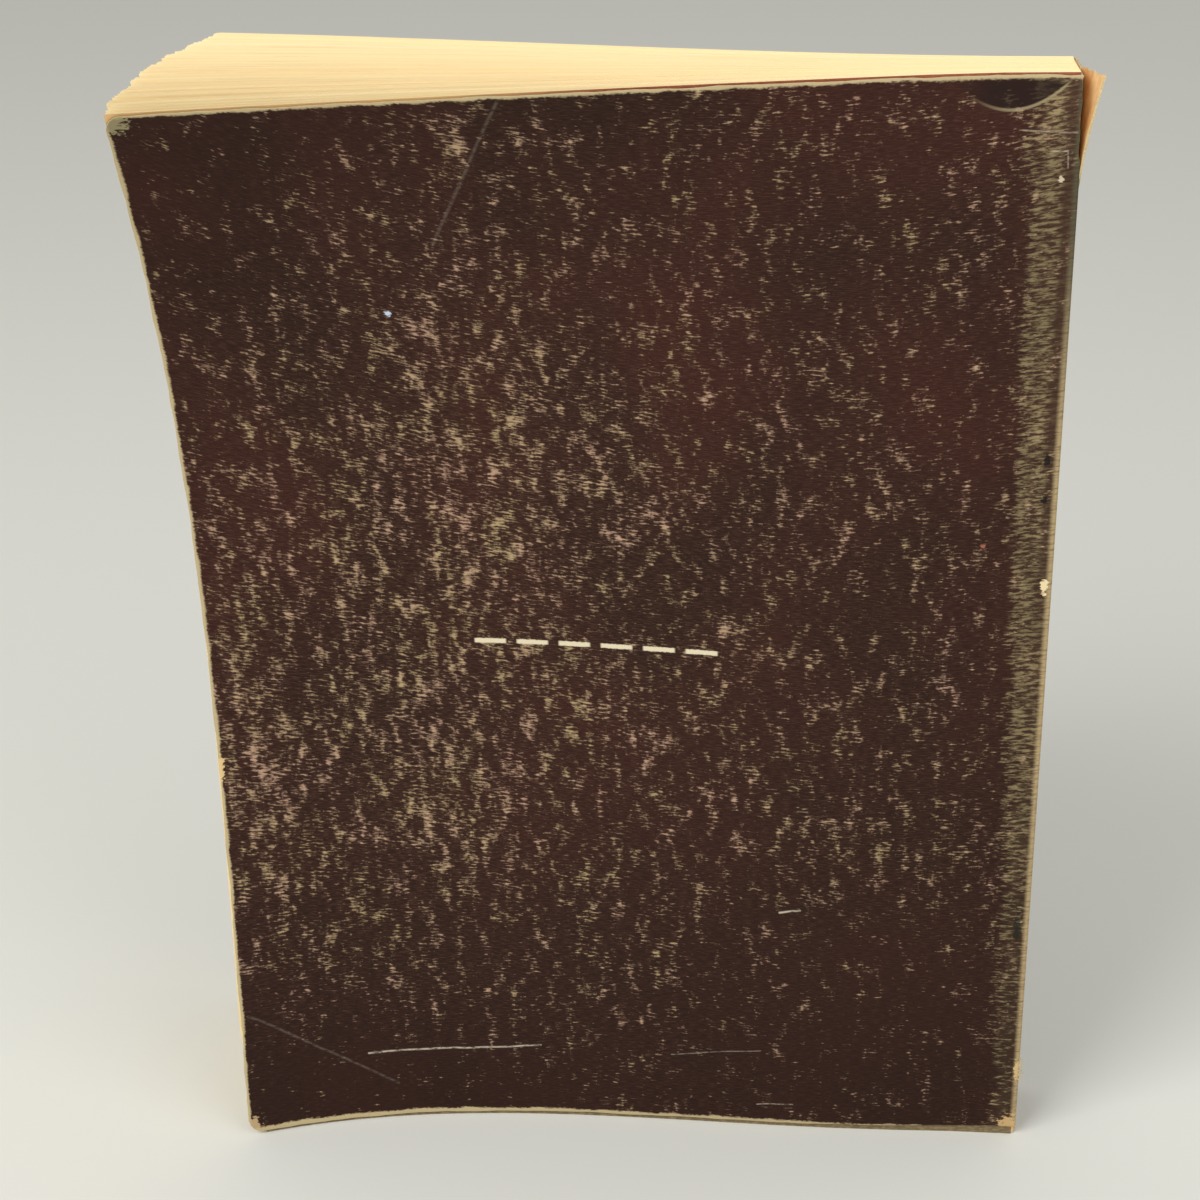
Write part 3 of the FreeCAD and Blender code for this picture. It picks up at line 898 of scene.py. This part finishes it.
def printed_card(name, shift, placed):
    """Worn printed card. shift moves its noise, and placed adds the back cover's own marks."""
    material, tree, shader = new_material(name)
    r = Recipe(tree)
    flat = r.flat()
    place = r.vector("ADD", leaning(r, flat), shift)
    s, t, _ = r.split(flat)
    amount = BASE_WEAR
    for centre, reach, more in WORN_PATCHES if placed else WORN_PATCHES[:2]:
        patch = r.group(PATCH, Place=flat, Centre=(*centre, 0), Reach=(*reach, 1e6))
        amount = r.maths("MULTIPLY_ADD", patch, more, amount)
    dashes = r.group(DASHES, Place=place, Amount=amount)
    haze = r.ramp(r.noise(place, (0.4, 4.2, 1), (5, 5, 5), 3, 0.6), 0.42, 0.75)
    haze = r.maths("MULTIPLY", haze, r.ramp(amount, -0.05, 0.15, 0.15, 0.5))
    broad = r.noise(place, (0.02, 0.016, 1), (2, 3, 4), 2)
    red = r.maths("MULTIPLY", r.ramp(broad, 0.3, 0.75), r.ramp(t, 10.0, 200.0, 0.2, 1.0))
    print_colour = r.mix(red, srgb(38, 20, 14), srgb(53, 25, 19))
    grey = r.noise(place, (0.07, 0.05, 1), (8, 2, 6), 2)
    worn_colour = r.mix(r.ramp(grey, 0.35, 0.65), srgb(172, 150, 112), srgb(182, 148, 124))
    colour = r.mix(haze, print_colour, srgb(98, 70, 54))
    colour = r.mix(r.maths("MULTIPLY", dashes, 0.9), colour, worn_colour)
    band_edge = r.noise(place, (0.1, 0.04, 1), (1, 9, 3), 3, 0.6)
    fringe = r.noise(place, (0.3, 1.4, 1), (6, 6, 1), 4, 0.65)
    band_width = r.maths("MULTIPLY_ADD", band_edge, 9.0, r.ramp(t, 0.0, 280.0, 0.5, 4.5))
    band_width = r.maths("MULTIPLY_ADD", fringe, 14.0, r.maths("SUBTRACT", band_width, 7.0))
    band = r.ramp(r.maths("SUBTRACT", s, band_width), 1.5, -1.5)
    band = r.maths("MULTIPLY", band, r.ramp(s, -6.0, -2.0, 0.3, 1.0))
    keep = r.ramp(fringe, r.ramp(t, 20.0, 130.0, 0.52, 0.43), r.ramp(t, 20.0, 130.0, 0.7, 0.65))
    # Painted shade: above about 150 mm the rubbed band is held back along the fold's edge, so that the
    # dark print stands for the shade where the card turns round the fold.
    fold_shade_line = r.maths("MULTIPLY", r.ramp(s, 3.2, 1.6), r.ramp(t, 140.0, 170.0, 0.1, 0.8))
    keep = r.maths("MULTIPLY", keep, r.maths("SUBTRACT", 1.0, fold_shade_line))
    band_mask = r.maths("MULTIPLY", band, r.maths("MULTIPLY_ADD", keep, 0.85, 0.05))
    band_colour = r.mix(r.ramp(grey, 0.4, 0.65), srgb(126, 113, 82), srgb(152, 134, 98))
    colour = r.mix(band_mask, colour, band_colour)
    near_fold = r.maths("MULTIPLY", r.ramp(s, 0.9, -0.6), r.ramp(s, -3.0, -1.9))
    fold = r.maths("MAXIMUM", near_fold, r.ramp(s, -21.4, -22.6))
    fold = r.maths("MULTIPLY", fold, r.ramp(fringe, 0.3, 0.55, 0.35, 0.9))
    fold_colour = r.mix(r.ramp(t, 190.0, 250.0), srgb(176, 154, 114), srgb(84, 79, 60))
    colour = r.mix(fold, colour, fold_colour)
    fray = r.group(FRAY, Place=place, Distance=border_distance(r, s, t), Width=FRAY_WIDTH)
    colour = r.mix(r.maths("MULTIPLY", fray, 0.9), colour, srgb(188, 170, 130))
    worn = r.maths("MAXIMUM", r.maths("MAXIMUM", dashes, band_mask), fray)
    if placed:
        above, pale = curved_dent(r, s, t)
        colour = r.mix(r.maths("MULTIPLY", above, 0.85), colour, srgb(32, 20, 17))
        colour = r.mix(r.maths("MULTIPLY", pale, 0.75), colour, srgb(150, 138, 104))
        rough = r.noise(flat, (0.7, 1.5, 1), detail=3, roughness=0.6)
        for centre, reach, tint, strength in MARKS:
            patch = r.group(PATCH, Place=flat, Centre=(*centre, 0), Reach=(*reach, 1e6))
            level = r.maths("MULTIPLY_ADD", rough, 1.6, r.maths("MULTIPLY", patch, 0.7))
            mark = r.maths("MULTIPLY", r.ramp(level, 1.05, 1.25, 0.0, strength), r.ramp(patch, 0.0, 0.1))
            colour = r.mix(mark, colour, srgb(*tint))
        for start, end, width, strength in SCRATCHES:
            line = r.group(SCRATCH, Place=flat, Start=(*start, 0), End=(*end, 0), Width=width)
            colour = r.mix(r.maths("MULTIPLY", line, strength), colour, srgb(205, 192, 170))
        rule = broken_rule(r, flat, s, t)
        colour = r.mix(rule, colour, srgb(212, 200, 170))
    r.feed(shader.inputs["Base Color"], colour)
    r.feed(shader.inputs["Roughness"], r.ramp(worn, 0.0, 1.0, 0.55, 0.85))
    shader.inputs["Specular IOR Level"].default_value = COVER_GLOSS
    grain = r.noise(place, (0.7, 3.0, 1), (1, 1, 1), 4, 0.6)
    height = r.maths("SUBTRACT", r.maths("MULTIPLY", grain, 0.5), r.maths("MULTIPLY", worn, 0.5))
    r.bump(shader, height, 0.35, 0.06 * MM)
    return material


BACK_PRINT = printed_card("back_print", (0, 0, 0), True)
FRONT_PRINT = printed_card("front_print", (300, 70, 0), False)
print("printed card", BACK_PRINT.name, FRONT_PRINT.name)

# %% [markdown]
# Card core, paper and glue
# The plain stuffs: the bare inside of the card, the browned paper of the leaves, the ink on
# the outer side of the last leaf, and the dried glue. Each is a few colours mixed by noise
# that is read at the flat place, so it turns with the sheet.

# %% Card core, paper and glue finishes


def card_core(name):
    """The bare inside of the card: pale fibres, browned, with dirt in places."""
    material, tree, shader = new_material(name)
    r = Recipe(tree)
    place = r.flat()
    fibres = r.noise(place, (0.9, 2.6, 3), detail=4, roughness=0.65)
    dirt = r.noise(place, (0.08, 0.06, 0.5), (4, 2, 1), detail=3, roughness=0.6)
    colour = r.mix(r.ramp(fibres, 0.3, 0.7), srgb(176, 152, 106), srgb(214, 196, 152))
    colour = r.mix(r.ramp(dirt, 0.45, 0.75, 0.0, 0.25), colour, srgb(128, 108, 72))
    r.feed(shader.inputs["Base Color"], colour)
    shader.inputs["Roughness"].default_value = 0.85
    r.bump(shader, fibres, 0.5, 0.1 * MM)
    return material


def old_paper(name):
    """Cheap paper, browned towards its edges. No two leaves are quite alike."""
    material, tree, shader = new_material(name)
    r = Recipe(tree)
    place = r.flat()
    s, t, _ = r.split(place)
    tone = r.noise(place, (0.004, 0.01, 2.3), detail=3, roughness=0.7)
    streaks = r.noise(place, (0.02, 0.15, 9.0), (3, 3, 3), detail=3, roughness=0.6)
    edge = r.maths("MINIMUM", r.maths("SUBTRACT", PAGE_HEIGHT / MM, t), t)
    edge = r.maths("MINIMUM", edge, r.maths("SUBTRACT", PAGE_WIDTH / MM, s))
    colour = r.mix(r.ramp(tone, 0.3, 0.7), srgb(255, 243, 204), srgb(253, 233, 182))
    colour = r.mix(r.ramp(streaks, 0.52, 0.75, 0.0, 0.45), colour, srgb(228, 196, 142))
    colour = r.mix(r.ramp(edge, 14.0, 0.0, 0.0, 0.2), colour, srgb(240, 208, 150))
    r.feed(shader.inputs["Base Color"], colour)
    shader.inputs["Roughness"].default_value = 0.8
    grain = r.noise(place, (1.5, 1.5, 1.5), detail=4, roughness=0.6)
    r.bump(shader, grain, 0.3, 0.05 * MM)
    return material


def printed_leaf(name):
    """The outer side of the last leaf: flat red-brown ink, dull olive near the tail, where dirt and
    painted shade from the cover's tail edge are mixed.
    """
    material, tree, shader = new_material(name)
    r = Recipe(tree)
    place = r.flat()
    s, t, _ = r.split(place)
    rough = r.noise(place, (0.5, 1.5, 1), detail=4, roughness=0.6)
    ink = r.mix(r.ramp(rough, 0.35, 0.7), srgb(138, 72, 44), srgb(160, 94, 62))
    rubbed = r.maths("MULTIPLY", r.ramp(s, 95.0, 150.0), r.ramp(t, 270.0, 277.0))
    ink = r.mix(rubbed, ink, srgb(214, 176, 122))
    # Painted shade, mixed with dirt: the dull olive strip just above the tail stands for the leaf lying
    # in the shade under the cover's tail edge.
    dirt_and_shade = r.mix(r.ramp(rough, 0.4, 0.65), srgb(104, 88, 58), srgb(134, 116, 82))
    colour = r.mix(r.ramp(t, 9.0, 4.0), ink, dirt_and_shade)
    r.feed(shader.inputs["Base Color"], colour)
    shader.inputs["Roughness"].default_value = 0.7
    return material


def old_glue(name):
    """Dried glue: brittle, tan to orange, shiny only in spots."""
    material, tree, shader = new_material(name)
    r = Recipe(tree)
    place = r.flat()
    blots = r.noise(place, (0.35, 0.12, 1), detail=4, roughness=0.6)
    colour = r.mix(r.ramp(blots, 0.35, 0.65), srgb(208, 158, 98), srgb(236, 202, 148))
    r.feed(shader.inputs["Base Color"], colour)
    r.feed(shader.inputs["Roughness"], r.ramp(blots, 0.4, 0.7, 0.75, 0.45))
    r.bump(shader, blots, 0.5, 0.3 * MM)
    return material


CORE = card_core("card_core")
GLUED = old_glue("glued_side")
PAPER = old_paper("old_paper")
LAST_LEAF = printed_leaf("last_leaf_print")
FINISHES = (
    (leaves, (PAPER, LAST_LEAF)),
    (back_card, (BACK_PRINT, CORE)),
    (front_card, (FRONT_PRINT, CORE)),
    (spine_card, (BACK_PRINT, CORE, GLUED)),
    (glue_film, (GLUED,)),
    (fold_tufts, (CORE,)),
)
for obj, finishes in FINISHES:
    for finish in finishes:
        obj.data.materials.append(finish)
print("materials", [material.name for material in bpy.data.materials])
